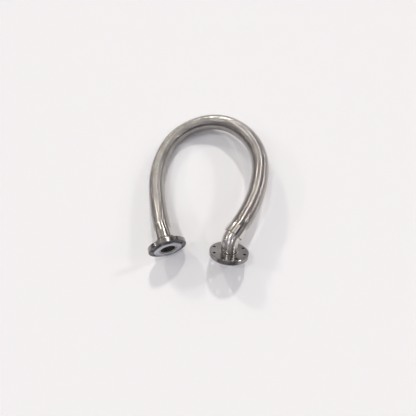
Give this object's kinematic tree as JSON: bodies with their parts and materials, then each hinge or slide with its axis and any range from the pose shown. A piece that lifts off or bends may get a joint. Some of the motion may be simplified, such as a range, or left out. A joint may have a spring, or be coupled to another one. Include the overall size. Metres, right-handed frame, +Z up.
{
  "type": "flexible vacuum bellows hose",
  "caption": "Flexible stainless bellows hose for vacuum lines, lying in an open loop, with rotatable knife-edge flanges, one straight and one on a bent neck.",
  "frame": {"origin": "middle of the hose's box on the floor that it lies on", "axes": "+Z up from the floor, +Y from the flanges towards the far side of the loop, +X from the straight end towards the elbow end"},
  "size_m": [0.4658, 0.5749, 0.1145],
  "materials": {
    "bellows_steel": "bright formed sheet",
    "ring_steel": "turned",
    "hub_steel": "fine turned",
    "tube_steel": "polished",
    "collar_steel": "polished",
    "seam_steel": "weld bead"
  },
  "bodies": {
    "hose": {"bellows": "bellows_steel", "straight_end_hub": "hub_steel", "straight_end_tube": "tube_steel", "straight_end_collar": "collar_steel", "straight_end_cuff": "tube_steel", "straight_end_collar_seam": "seam_steel", "straight_end_hub_seam": "seam_steel", "elbow_end_hub": "hub_steel", "elbow_end_tube": "tube_steel", "elbow_end_collar": "collar_steel", "elbow_end_cuff": "tube_steel", "elbow_end_collar_seam": "seam_steel", "elbow_end_hub_seam": "seam_steel"},
    "straight_ring": {"straight_end_ring": "ring_steel"},
    "elbow_ring": {"elbow_end_ring": "ring_steel"}
  },
  "joints": [
    {"name": "straight_ring_turn", "type": "hinge", "parent": "hose", "child": "straight_ring", "pos_m": [-0.17616, -0.17029, 0.05848], "axis": [0, -0.995, 0.1004], "continuous": true},
    {"name": "elbow_ring_turn", "type": "hinge", "parent": "hose", "child": "elbow_ring", "pos_m": [-0.01339, -0.24545, 0.04573], "axis": [-0.3953, -0.6871, -0.6096], "continuous": true}
  ]
}
